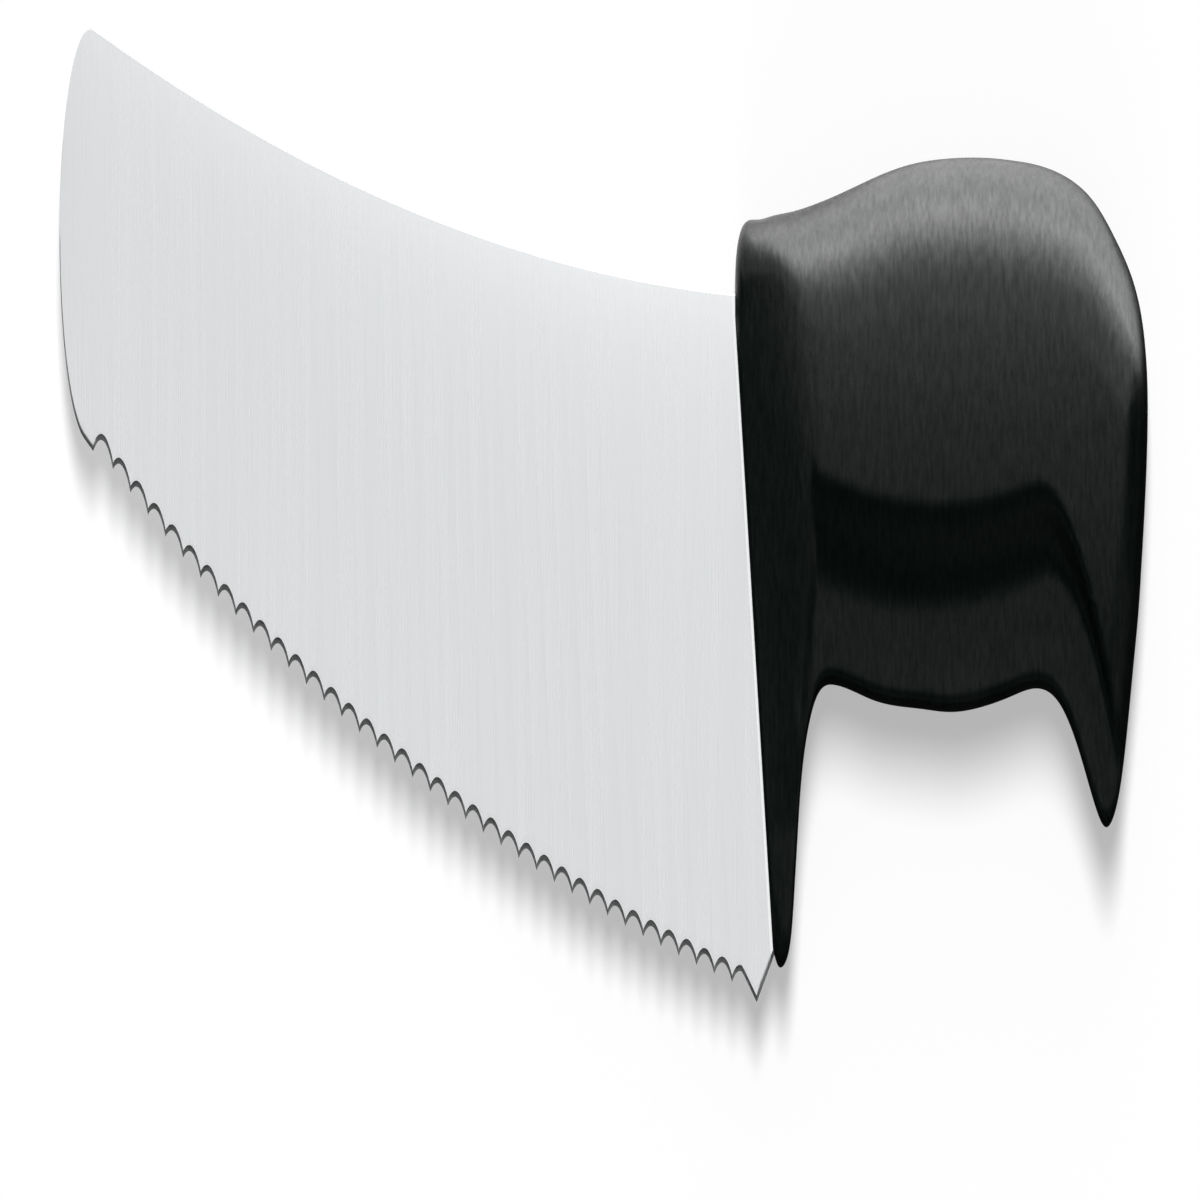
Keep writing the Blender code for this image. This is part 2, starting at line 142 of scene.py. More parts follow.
def maths(tree, operation, first, second, third=None):
    values = {0: first, 1: second}
    if third is not None:
        values[2] = third
    return addNode(tree, "ShaderNodeMath", values, operation=operation).outputs[0]


def newMaterial(name):
    material = bpy.data.materials.new(name)
    material.use_nodes = True
    return material, material.node_tree, material.node_tree.nodes["Principled BSDF"]


# Grain that steel and plastic share: two layers of noise, fine and broad, each stretched by its
# own amounts per metre. Shade swings round 1, Roughness round its own base, and the fine layer
# with a part of the broad one stands up as relief.
def makeGrain():
    group = bpy.data.node_groups.new("surfaceGrain", "ShaderNodeTree")
    for name, kind in (("Vector", "NodeSocketVector"), ("Fine", "NodeSocketVector"),
                       ("Broad", "NodeSocketVector"), ("Shade Swing", "NodeSocketFloat"),
                       ("Base Roughness", "NodeSocketFloat"),
                       ("Roughness Swing", "NodeSocketFloat"),
                       ("Relief", "NodeSocketFloat"), ("Broad Relief", "NodeSocketFloat")):
        group.interface.new_socket(name=name, in_out="INPUT", socket_type=kind)
    for name, kind in (("Shade", "NodeSocketFloat"), ("Roughness", "NodeSocketFloat"),
                       ("Normal", "NodeSocketVector")):
        group.interface.new_socket(name=name, in_out="OUTPUT", socket_type=kind)
    given = group.nodes.new("NodeGroupInput").outputs
    layers = []
    for name, detail in (("Fine", 2), ("Broad", 3)):
        place = addNode(group, "ShaderNodeVectorMath", {0: given["Vector"], 1: given[name]},
                        operation="MULTIPLY").outputs[0]
        noise = addNode(group, "ShaderNodeTexNoise",
                        {"Vector": place, "Scale": 1, "Detail": detail}).outputs[0]
        layers.append(maths(group, "SUBTRACT", noise, 0.5))
    fine, broad = layers
    both = maths(group, "ADD", fine, broad)
    shade = maths(group, "MULTIPLY_ADD", broad, given["Shade Swing"], 1)
    roughness = maths(group, "MULTIPLY_ADD", both, given["Roughness Swing"],
                      given["Base Roughness"])
    height = maths(group, "MULTIPLY_ADD", broad, given["Broad Relief"], fine)
    relief = addNode(group, "ShaderNodeBump",
                     {"Strength": 1, "Distance": given["Relief"], "Height": height})
    result = group.nodes.new("NodeGroupOutput").inputs
    for name, value in (("Shade", shade), ("Roughness", roughness),
                        ("Normal", relief.outputs[0])):
        group.links.new(value, result[name])
    return group


wear = {
    "detail": 4,
    "patchStart": 0.35,               # noise between these goes over from bare to rubbed
    "patchEnd": 0.65,
}


# A mask that marks where a surface has been rubbed: the piece's rim attribute, broken up by noise.
def makeWear():
    group = bpy.data.node_groups.new("rubbedEdges", "ShaderNodeTree")
    for name, kind in (("Vector", "NodeSocketVector"), ("Patch Scale", "NodeSocketFloat"),
                       ("Rim", "NodeSocketFloat"), ("Amount", "NodeSocketFloat")):
        group.interface.new_socket(name=name, in_out="INPUT", socket_type=kind)
    group.interface.new_socket(name="Mask", in_out="OUTPUT", socket_type="NodeSocketFloat")
    given = group.nodes.new("NodeGroupInput").outputs
    noise = addNode(group, "ShaderNodeTexNoise", {"Vector": given["Vector"],
                    "Scale": given["Patch Scale"], "Detail": wear["detail"]}).outputs[0]
    patch = addNode(group, "ShaderNodeMapRange",
                    {0: noise, 1: wear["patchStart"], 2: wear["patchEnd"]},
                    interpolation_type="SMOOTHSTEP").outputs[0]
    rubbed = maths(group, "MULTIPLY", given["Rim"], patch)
    mask = maths(group, "MULTIPLY", rubbed, given["Amount"])
    group.links.new(mask, group.nodes.new("NodeGroupOutput").inputs["Mask"])
    return group


grainGroup = makeGrain()
wearGroup = makeWear()


def useGroup(tree, group, inputs):
    return addNode(tree, "ShaderNodeGroup", inputs, node_tree=group).outputs


def objectPlace(tree):
    return tree.nodes.new("ShaderNodeTexCoord").outputs["Object"]


def tinted(tree, colour, shade):
    return addNode(tree, "ShaderNodeVectorMath", {0: colour, "Scale": shade},
                   operation="SCALE").outputs[0]


def mixColour(tree, share, first, second):
    return addNode(tree, "ShaderNodeMix", {0: share, 6: first, 7: second},
                   data_type="RGBA").outputs[2]


# Blade

blade = {
    "length": 260 * mm,               # tip to the heel's point
    "tipRadius": 11.6 * mm,
    "tipRise": 11.2 * mm,             # middle of the round tip above the middle line
    "spineRadius": 2600 * mm,
    "edgeRadius": 2280 * mm,
    "bellyRadius": 1000 * mm,         # tighter curve of the edge towards the tip
    "bellyStart": math.radians(-102.1),
    "heelAhead": 7.25 * mm,           # heel's point ahead of the handle's front
    "heelClimb": math.radians(22),
    "heelSeat": 4.5 * mm,             # hidden in the guard
    "heelHalf": 1.1 * mm,             # half thickness at the spine, at the handle
    "tipHalf": 0.85 * mm,             # and at the tip
    "edgeHalf": 0.4 * mm,             # and behind the scallops
    "crown": 2.4 * mm,                # about the sides' slope at the spine, times their width
    "crownSpan": 38 * mm,
    "crownReach": 0.15,               # part of the width over which that slope fades
    "spineRim": 0.07 * mm,            # rounding of the spine
    "rimWidth": 0.35 * mm,            # and of the tip's lower side
    "climbWidth": 0.6 * mm,           # and of the heel's back, up to the guard
    "rimDepth": 0.3 * mm,
    "rimShare": 0.7,                  # of the half thickness, the most that such a rim takes
    "toothPitch": 6.65 * mm,
    "toothDepth": 0.85 * mm,
    "toothInset": 0.5 * mm,
    "toothBevel": math.radians(20),   # of the hollows ground from the underside
    "firstTooth": 4.4 * mm,
    "lastFall": 0.14,                 # part of the last scallop's far half that is ground
    "burrWidth": 0.34 * mm,           # fine bevel along the scallops, on the upper side
    "burrDepth": 0.17 * mm,
    "tipSteps": 40,
    "toothSteps": 14,
    "sideSteps": 14,
    "sideHold": 0.001,                # part of a side's width that keeps its rims' shading apart
    "rimSteps": 5,
    "seatSteps": 7,
    "edgeSamples": 600,               # along which the scallops' pitch is paced out
    "crease": math.radians(20),
}


# Centre of the circle of one radius that touches the round tip and passes through a point, above
# both: the law of cosines along the line from tip to point, then a square root to the side.
def touchingCentre(tip, tipRadius, point, radius, outside):
    reach = radius + tipRadius if outside else radius - tipRadius
    line = point - tip
    length = np.hypot(*line)
    along = (reach ** 2 - radius ** 2 + length ** 2) / (2 * length)
    aside = math.sqrt(reach ** 2 - along ** 2)
    return tip + line / length * along + np.array([-line[1], line[0]]) / length * aside


heel = np.array([frontAt(-knife["edgeDrop"]) - blade["heelAhead"], -knife["edgeDrop"]])
tip = np.array([heel[0] - blade["length"] + blade["tipRadius"], blade["tipRise"]])
spineEnd = np.array([frontAt(knife["spineRise"]), knife["spineRise"]])
spineCentre = touchingCentre(tip, blade["tipRadius"], spineEnd, blade["spineRadius"], True)
bellyCentre = tip - (blade["bellyRadius"] - blade["tipRadius"]) * unit(blade["bellyStart"])
edgeCentre = touchingCentre(bellyCentre, blade["bellyRadius"], heel, blade["edgeRadius"], False)


# Y on the lower side of a circle at x: the centre's less the root of radius squared less the
# offset in x squared.
def underCircle(centre, radius, x):
    return centre[1] - np.sqrt(radius ** 2 - (x - centre[0]) ** 2)


# The edge as it was stamped, before the scallops, moved in by an inset: the belly's circle up to
# the point where the flatter one touches it, then that one.
def stampedEdge(x, inset):
    join = edgeCentre + blade["edgeRadius"] * unit(angleOf(edgeCentre, bellyCentre))
    return np.where(x < join[0], underCircle(bellyCentre, blade["bellyRadius"] - inset, x),
                    underCircle(edgeCentre, blade["edgeRadius"] - inset, x))


# The scallops' points: equal steps of one pitch along the inset edge.
def scallopPoints():
    edgeStart = tip[0] + blade["tipRadius"] * math.cos(blade["bellyStart"])
    x = np.linspace(edgeStart, heel[0], blade["edgeSamples"])
    y = stampedEdge(x, blade["toothInset"])
    walked = np.concatenate([[0], np.cumsum(np.hypot(np.diff(x), np.diff(y)))])
    places = np.arange(blade["firstTooth"], walked[-1], blade["toothPitch"])
    return np.column_stack([np.interp(places, walked, x), np.interp(places, walked, y)])


# Y of the scalloped edge at x: each scallop is an arc over the chord between two points, as deep
# as the tooth depth, and the last one runs straight from part way down to the heel's point. Where
# the stamped edge lies further in, it stays.
def scallopedEdge(x, points):
    start, end = points[:-1], points[1:]
    chord = end - start
    along = chord / np.hypot(chord[:, 0], chord[:, 1])[:, None]
    inward = np.column_stack([-along[:, 1], along[:, 0]])
    half, depth = blade["toothPitch"] / 2, blade["toothDepth"]
    radius = (half ** 2 + depth ** 2) / (2 * depth)
    middle = (start + end) / 2 + inward * (depth - radius)
    which = np.clip(np.searchsorted(points[:, 0], x, side="right") - 1, 0, len(start) - 1)
    offset = np.clip(x - middle[which, 0], -radius, radius)
    arcs = middle[which, 1] + np.sqrt(radius ** 2 - offset ** 2)
    spread = math.asin(half / radius)
    lastAngle = math.atan2(inward[-1, 1], inward[-1, 0]) - spread * blade["lastFall"]
    last = middle[-1] + radius * unit(lastAngle)
    run = last[1] + (x - last[0]) * (heel[1] - last[1]) / (heel[0] - last[0])
    return np.where(x > last[0], run, np.maximum(arcs, stampedEdge(x, 0)))


# Half the blade's thickness at a place: the plane through its three stated values.
def halfBlade(place):
    corners = np.array([[*spineEnd, 1], [tip[0], tip[1] + blade["tipRadius"], 1], [*heel, 1]])
    plane = np.linalg.solve(corners, [blade["heelHalf"], blade["tipHalf"], blade["edgeHalf"]])
    return place @ plane[:2] + plane[2]


# Matching places on the spine side and the edge side, tip to guard, with the way inwards at each,
# and 1 for each that is scalloped: round the tip from its foremost point both ways, along spine
# and scallops, then up the heel into the guard.
def bladeStations():
    share = np.linspace(0, 1, blade["tipSteps"])[:-1, None]
    spineAngle = angleOf(spineCentre, tip) - math.pi
    upperTip = unit(-math.pi + share[:, 0] * (spineAngle + math.pi))
    lowerTip = unit(-math.pi + share[:, 0] * (blade["bellyStart"] + math.pi))
    spineStart = tip + blade["tipRadius"] * unit(spineAngle)
    edgeStart = tip + blade["tipRadius"] * unit(blade["bellyStart"])
    points = scallopPoints()
    marks = np.concatenate([[edgeStart[0]], points[:-1, 0], [heel[0]]])
    step = (1 - np.cos(np.linspace(0, math.pi, blade["toothSteps"] + 1)[:-1])) / 2
    x = np.append((marks[:-1, None] + np.diff(marks)[:, None] * step).ravel(), heel[0])
    overHeel = heel[0] - (knife["spineRise"] - heel[1]) * math.tan(knife["lean"])
    spineX = spineStart[0] + (x - x[0]) / (x[-1] - x[0]) * (overHeel - spineStart[0])
    spine = np.column_stack([spineX, underCircle(spineCentre, blade["spineRadius"], spineX)])
    edge = np.column_stack([x, scallopedEdge(x, points)])
    lean, climb = math.tan(knife["lean"]), math.tan(blade["heelClimb"])
    back = blade["heelSeat"] / math.cos(knife["lean"])
    seatX = (back - lean * (heel[1] - climb * heel[0])) / (1 + lean * climb)
    seat = np.array([seatX, heel[1] + climb * (seatX - heel[0])])
    deep = np.linspace(0, 1, blade["seatSteps"] + 1)[1:, None]
    climbing = heel + (seat - heel) * deep
    hidden = np.column_stack([overHeel + (spineEnd[0] + back - overHeel) * deep[:, 0],
                              np.full(len(deep), knife["spineRise"])])
    hidden[:, 1] = np.where(hidden[:, 0] < spineEnd[0],
                            underCircle(spineCentre, blade["spineRadius"], hidden[:, 0]),
                            knife["spineRise"])
    upper = np.vstack([tip + blade["tipRadius"] * upperTip, spine, hidden])
    lower = np.vstack([tip + blade["tipRadius"] * lowerTip, edge, climbing])
    up, climbNormal = np.array([0, 1.0]), unit(blade["heelClimb"] + math.pi / 2)
    upperIn = np.vstack([-upperTip, np.tile(-up, (len(spine) + len(hidden), 1))])
    lowerIn = np.vstack([-lowerTip, np.tile(up, (len(edge), 1)),
                         np.tile(climbNormal, (len(climbing), 1))])
    scalloped = np.zeros(len(lower))
    first = len(lowerTip) + blade["toothSteps"]
    scalloped[first:len(lowerTip) + len(edge)] = 1
    return upper, lower, upperIn, lowerIn, scalloped


# One rim as columns from the flat side out to the outline: a quarter ellipse where it is plain,
# a straight facet where it is scalloped. Gives how far in and how deep each column lies.
def rimColumns(width, depth, scalloped):
    share = np.linspace(0, 1, blade["rimSteps"] + 1)[None, :]
    angle = share * math.pi / 2
    width, depth, flat = width[:, None], depth[:, None], scalloped[:, None]
    inset = width * ((1 - np.sin(angle)) * (1 - flat) + (1 - share) * flat)
    drop = depth * ((1 - np.cos(angle)) * (1 - flat) + share * flat)
    return inset, drop


# Height of a side above its plane at a share t of the way from spine to edge: the slope is an
# exponential that fades away from the spine, less the constant that brings the edge back to 0.
def crownAt(share):
    reach = blade["crownReach"]
    risen = reach * (1 - np.exp(-share / reach))
    return blade["crown"] * (risen - share * reach * (1 - math.exp(-1 / reach)))


# The blade's rings, one for each station: across the upper side from spine to edge, down the
# edge's rim, back across the underside and up the spine's rim. Each side is the ground plane
# with a slight crown, which fades where the blade is narrow. A column close to each rim keeps the
# rim's smooth shading off the side. The facet along the scallops keeps its width on their flanks,
# where it is measured along Y as width times root(1 + slope^2), for slopes up to 45 degrees.
def bladeRings():
    upper, lower, upperIn, lowerIn, scalloped = bladeStations()
    count = len(upper)
    spineWidth = np.full(count, blade["spineRim"])
    plainWidth, plainDepth = np.full(count, blade["rimWidth"]), np.full(count, blade["rimDepth"])
    plainWidth[np.flatnonzero(scalloped)[-1] + 1:] = blade["climbWidth"]
    thin = halfBlade(lower)
    plainDepth = np.minimum(plainDepth, thin * blade["rimShare"])
    leastStep = 0.001 * mm
    slope = np.gradient(lower[:, 1]) / np.maximum(np.gradient(lower[:, 0]), leastStep)
    burrWidth = blade["burrWidth"] * np.sqrt(1 + np.minimum(slope ** 2, 1))
    topWidth = plainWidth + (burrWidth - plainWidth) * scalloped
    topDepth = plainDepth * (1 - scalloped) + blade["burrDepth"] * scalloped
    hollow = 2 * thin - topDepth
    lowWidth = plainWidth * (1 - scalloped) + hollow / math.tan(blade["toothBevel"]) * scalloped
    lowDepth = plainDepth * (1 - scalloped) + hollow * scalloped
    hold = blade["sideHold"]
    share = (1 - np.cos(np.linspace(0, math.pi, blade["sideSteps"] + 1))) / 2
    share = np.concatenate([[0, hold], share[1:-1], [1 - hold, 1]])[None, :, None]
    rings = []
    for side, width, depth in ((1, topWidth, topDepth), (-1, lowWidth, lowDepth)):
        near = upper + upperIn * spineWidth[:, None]
        far = lower + lowerIn * width[:, None]
        span = np.hypot(*(far - near).T)[:, None]
        flat = near[:, None] + (far - near)[:, None] * share
        fade = np.minimum(span / blade["crownSpan"], 1) ** 2
        flatZ = side * (halfBlade(flat) + crownAt(share[..., 0]) * fade)
        inset, drop = rimColumns(width, depth, scalloped)
        edgePlace = lower[:, None] + lowerIn[:, None] * inset[..., None]
        edgeZ = side * (halfBlade(far)[:, None] - drop)
        inset, drop = rimColumns(spineWidth, spineWidth, np.zeros(count))
        spinePlace = upper[:, None] + upperIn[:, None] * inset[..., None]
        spineZ = side * (halfBlade(near)[:, None] - drop)
        places = np.concatenate([spinePlace[:, :0:-1], flat, edgePlace[:, 1:]], axis=1)
        heights = np.concatenate([spineZ[:, :0:-1], flatZ, edgeZ[:, 1:]], axis=1)
        rings.append(np.concatenate([places, heights[..., None]], axis=2))
    top, bottom = rings
    return np.concatenate([top, bottom[:, ::-1]], axis=1)


steel = {
    "colour": (0.832, 0.847, 0.857, 1),
    "polished": (0.88, 0.89, 0.90, 1),
    "roughness": 0.28,
    "satin": (6500, 90, 90),          # grinding lines across the blade, per metre
    "clouds": (260, 26, 40),          # broad, faint unevenness of the grind
    "shadeSwing": 0.03,
    "roughnessSwing": 0.06,
    "relief": 0.0009 * mm,
    "stripWidth": 0.9 * mm,           # where the grinding stops, just before the handle
    "stripSoft": 0.15 * mm,
    "stripSmoother": 0.14,            # how much less rough that strip is
    "rimReach": 0.5 * mm,
    "rimPolish": 0.6,
    "rimPatches": 120,                # per metre, of the polish that use gives the rim
    "rimRougher": 0.24,               # coarser grinding along the edge
}


# Satin steel: lines from spine to edge, faint clouds, a coarser rim along the edge that use has
# polished in patches, and a smoother, brighter strip along the handle's front that the grinding
# wheel doesn't reach.
def makeSteel():
    material, tree, shader = newMaterial("satinSteel")
    place = objectPlace(tree)
    rim = addNode(tree, "ShaderNodeAttribute", attribute_name="rim").outputs["Fac"]
    grain = useGroup(tree, grainGroup, {
        "Vector": place, "Fine": steel["satin"], "Broad": steel["clouds"],
        "Shade Swing": steel["shadeSwing"], "Base Roughness": steel["roughness"],
        "Roughness Swing": steel["roughnessSwing"], "Relief": steel["relief"],
        "Broad Relief": 0.0})
    lean, soft = knife["lean"], steel["stripSoft"]
    back = addNode(tree, "ShaderNodeVectorMath",
                   {0: place, 1: (math.cos(lean), math.sin(lean), 0)}, operation="DOT_PRODUCT")
    front = zero[0] * math.cos(lean) + zero[1] * math.sin(lean) - steel["stripWidth"]
    strip = addNode(tree, "ShaderNodeMapRange",
                    {0: back.outputs["Value"], 1: front - soft, 2: front + soft},
                    interpolation_type="SMOOTHSTEP").outputs[0]
    worn = useGroup(tree, wearGroup, {"Vector": place, "Patch Scale": steel["rimPatches"],
                                      "Rim": rim, "Amount": steel["rimPolish"]})["Mask"]
    bright = maths(tree, "MAXIMUM", strip, worn)
    colour = mixColour(tree, bright, steel["colour"], steel["polished"])
    smoother = maths(tree, "MULTIPLY_ADD", strip, -steel["stripSmoother"], grain["Roughness"])
    rougher = maths(tree, "MULTIPLY_ADD", rim, steel["rimRougher"], smoother)
    tree.links.new(tinted(tree, colour, grain["Shade"]), shader.inputs["Base Color"])
    tree.links.new(rougher, shader.inputs["Roughness"])
    tree.links.new(grain["Normal"], shader.inputs["Normal"])
    shader.inputs["Metallic"].default_value = 1
    return material


# Adds a value for each point, 1 on the rim's line in the XY plane and falling to 0 one reach
# away from it.
def markRim(piece, line, reach):
    places = np.empty(len(piece.data.vertices) * 3)
    piece.data.vertices.foreach_get("co", places)
    away = distanceTo(line, (places.reshape(-1, 3) - zero)[:, :2])
    values = 1 - smooth(away / reach)
    attribute = piece.data.attributes.new("rim", "FLOAT", "POINT")
    attribute.data.foreach_set("value", values.astype(np.float32))


# Shortest distance in the XY plane from each place to a line of straight segments, found for a
# few thousand places at a time. A segment of no length counts as its point.
def distanceTo(line, places):
    atATime, leastSquare = 4000, 1e-18
    start, step = line[:-1], np.diff(line, axis=0)
    length = np.maximum((step ** 2).sum(axis=1), leastSquare)
    nearest = []
    for part in np.array_split(places, max(len(places) // atATime, 1)):
        away = part[:, None] - start
        share = np.clip((away * step).sum(axis=2) / length, 0, 1)
        gap = away - share[..., None] * step
        nearest.append(np.sqrt((gap ** 2).sum(axis=2)).min(axis=1))
    return np.concatenate(nearest)


steelMaterial = makeSteel()
bladePiece = ringSkin("ground_blade", bladeRings(), steelMaterial, blade["crease"])
edgeSide = bladeStations()[1]
markRim(bladePiece, edgeSide, steel["rimReach"])
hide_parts("blade")
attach(bladePiece, "root")
print("blade:", len(bladePiece.data.polygons), "faces")


# Tang, hidden in the handle

tang = {
    "drop": 7.5 * mm,                 # lower edge below the middle line
    "half": 1.15 * mm,
    "overlap": 0.2 * mm,              # with the blade, as the two are one stamping
    "cornerRadius": 3.8 * mm,
    "cornerPoints": 9,
    "holeRadius": 3.0 * mm,
    "holeFirst": 30 * mm,
    "holeSpacing": 32 * mm,
    "holeCount": 3,
    "holeSides": 32,
    "bevel": 0.15 * mm,
}


# A flat bar with rounded end corners, from the blade's back line to the tang's end, and round
# holes along its middle, all as closed lines filled and given their thickness.
def makeTang(material):
    top, bottom, end = knife["spineRise"], -tang["drop"], knife["tangLength"]
    back = (blade["heelSeat"] - tang["overlap"]) / math.cos(knife["lean"])
    radius = tang["cornerRadius"]
    corners = []
    for y, angles in ((top - radius, (math.pi / 2, 0)), (bottom + radius, (0, -math.pi / 2))):
        quarter = unit(np.linspace(*angles, tang["cornerPoints"]))
        corners.append(np.array([end - radius, y]) + radius * quarter)
    outline = np.vstack([[(frontAt(top) + back, top)], *corners,
                         [(frontAt(bottom) + back, bottom)]])
    turn = unit(np.linspace(0, 2 * math.pi, tang["holeSides"] + 1)[:-1])
    lines = [outline]
    for step in range(tang["holeCount"]):
        centre = np.array([tang["holeFirst"] + step * tang["holeSpacing"], (top + bottom) / 2])
        lines.append(centre + tang["holeRadius"] * turn)
    curve = bpy.data.curves.new("tangLines", "CURVE")
    curve.dimensions = "2D"
    curve.fill_mode = "BOTH"
    curve.extrude = tang["half"] - tang["bevel"]
    curve.bevel_depth = tang["bevel"]
    curve.bevel_resolution = 1
    curve.offset = -tang["bevel"]
    for line in lines:
        spline = curve.splines.new("POLY")
        spline.points.add(len(line) - 1)
        flat = np.column_stack([line + zero[:2], np.zeros(len(line)), np.ones(len(line))])
        spline.points.foreach_set("co", flat.ravel())
        spline.use_cyclic_u = True
    holder = addObject("tangLines", curve)
    bpy.context.view_layer.update()
    mesh = bpy.data.meshes.new_from_object(
        holder.evaluated_get(bpy.context.evaluated_depsgraph_get()))
    bpy.data.objects.remove(holder)
    mesh.name = "tang"
    mesh.transform(Matrix.Translation((0, 0, zero[2])))
    cleanMesh(mesh)
    mesh.materials.clear()
    mesh.materials.append(material)
    return addObject("tang", mesh)


tangPiece = makeTang(steelMaterial)
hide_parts("blade")
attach(tangPiece, "root")
print("tang:", len(tangPiece.data.polygons), "faces")


# Handle

handle = {
    "length": 151.2 * mm,
    "gripHeight": 31.0 * mm,
    "collarCover": 4.2 * mm,          # plastic above the spine, at the front
    "guardShort": 2.0 * mm,           # the guard ends this much above the heel's point
    "beakDrop": 21.9 * mm,
    "gripStart": 34 * mm,
    "pommelRun": 39.2 * mm,
    "gripThickness": 23.0 * mm,
    "collarThickness": 11.0 * mm,
    "ridgeThickness": 15.4 * mm,
    "guardThickness": 9.0 * mm,
    "gripRounding": 8.5 * mm,
    "collarRounding": 3.2 * mm,
    "roundingRise": 6,                # how late the collar's rounding goes over to the grip's
    "ridgeRounding": 1.3 * mm,
    "frontRounding": 1.2 * mm,
    "swellRun": 22 * mm,              # from the collar's front to the grip's full thickness
    "swellSoft": 0.09,                # how softly that slope ends
    "waistDrop": 6.95 * mm,
    "waistBow": 1.8 * mm,             # how much higher the waist line is at its ends
    "waistMiddle": 70 * mm,
    "waistReach": 44 * mm,
    "waistWidth": 7.1 * mm,           # of the step, at the grip's start
    "waistTaper": 0.013,              # lost of that width for each length towards the butt
    "waistPinch": 0.6,                # how much narrower the step gets along the beak
    "pinchRun": 31 * mm,
    "waistHollow": 1.3,               # above 1 the step's foot is wider than its shoulder
    "waistFallStart": 45.5 * mm,      # ahead of the butt, where the line turns into the beak
    "waistFallWidth": 48 * mm,
    "waistFall": 1.03,                # the slope that this fall tends to
    "frontFallEnd": 28 * mm,          # ahead of this the waist line drops into the guard
    "frontFallWidth": 3 * mm,
    "frontFall": 2.4,
    "slopeReach": 0.5 * mm,           # to either side, over which the line's slope is taken
    "pommelFlare": 0.6 * mm,
    "flareRun": 59 * mm,
    "crown": 3.0 * mm,                # lost from the middle line to the back
    "lowCrown": 1.9 * mm,             # and to the belly, and on down the beak
    "ridgeFall": 0.11,                # slope of the finger ridge down to the belly
    "roundingPower": 2.2,             # of the grip's rounding over to the outline
    "ridgePower": 4.0,                # and of the finger ridge's, whose wall stands steeper
    "stations": 300,
    "crowding": 0.65,                 # how much closer the stations stand at both ends
    "across": 110,
    "crease": math.radians(40),
}


# Paired places on the handle's outline, front to butt: X and Y on its back, X and Y on its belly.
def handleRows():
    collar = (knife["spineRise"] + handle["collarCover"]) / mm
    guard = (handle["guardShort"] - knife["edgeDrop"]) / mm
    back = handle["gripHeight"] / 2 / mm
    beak = -handle["beakDrop"] / mm
    end = handle["length"] / mm
    toe = frontAt(guard)
    grip = handle["gripStart"] / mm
    run = end - handle["pommelRun"] / mm - grip
    corner = collar - 5.3
    nose = frontAt(corner)
    rows = [
        (nose, corner, frontAt(guard + 1), guard + 1),
        (nose + 0.3, collar - 2.4, toe + 1.7, guard),
        (nose + 2.7, collar - 0.45, toe + 5, guard + 0.5),
        (grip - 28.5, collar - 0.02, toe + 7.4, guard + 3.6),
        (grip - 22.5, collar + 0.2, toe + 9, guard + 7.7),
        (grip - 16.2, collar + 0.4, toe + 10.9, guard + 11.4),
        (grip - 9.5, collar + 0.7, grip - 6.9, 0.6 - back),
        (grip - 1, collar + 1.2, grip, 1.55 - back),
        (grip + run * 0.2, back - 1.05, grip + run * 0.2, 0.65 - back),
        (grip + run * 0.42, back - 0.2, grip + run * 0.42, 0.2 - back),
        (grip + run * 0.65, back + 0.05, grip + run * 0.6, 0.05 - back),
        (grip + run * 0.85, back - 0.1, grip + run * 0.84, 0.85 - back),
        (end - 37.2, back - 0.55, end - 39.7, 1.32 - back),
        (end - 27.2, back - 1.35, end - 31.7, 0.2 - back),
        (end - 18.7, back - 2.7, end - 24.7, beak + 3.8),
        (end - 11.7, back - 4.6, end - 19.2, beak + 1),
        (end - 6.2, back - 6.5, end - 14.9, beak),
        (end - 2.2, back - 8.9, end - 10.8, beak + 1.7),
        (end - 0.1, back - 12.4, end - 7.6, beak + 5.4),
        (end - 0.3, back - 16.9, end - 4.9, beak + 9.6),
        (end - 1.5, back - 20.8, end - 3.1, beak + 12.6),
        (end - 2.3, back - 22.8, end - 2.3, back - 22.8),
    ]
    return np.array(rows) * mm


# The whole outline as one line: along the back, then home along the belly.
def handleOutline(rows):
    return np.vstack([rows[:, :2], rows[::-1, 2:]])


# A natural cubic through rows of places, paced by the mean step of each row: the second
# derivatives come from one linear system, and each stretch is its two ends blended by cubes.
def cubicThrough(rows, at):
    steps = np.hypot(np.diff(rows[:, 0::2], axis=0), np.diff(rows[:, 1::2], axis=0))
    pace = np.concatenate([[0], np.cumsum(steps.mean(axis=1))])
    gap = np.diff(pace)[:, None]
    count = len(rows)
    system = np.eye(count)
    inner = np.arange(1, count - 1)
    system[inner, inner - 1] = gap[:-1, 0]
    system[inner, inner] = 2 * (gap[:-1, 0] + gap[1:, 0])
    system[inner, inner + 1] = gap[1:, 0]
    bend = np.zeros_like(rows)
    bend[1:-1] = 6 * np.diff(np.diff(rows, axis=0) / gap, axis=0)
    second = np.linalg.solve(system, bend)
    place = at * pace[-1]
    row = np.clip(np.searchsorted(pace, place, side="right") - 1, 0, count - 2)
    left, right = (pace[row + 1] - place)[:, None], (place - pace[row])[:, None]
    width = gap[row]
    return ((second[row] * left ** 3 + second[row + 1] * right ** 3) / (6 * width)
            + (rows[row] / width - second[row] * width / 6) * left
            + (rows[row + 1] / width - second[row + 1] * width / 6) * right)


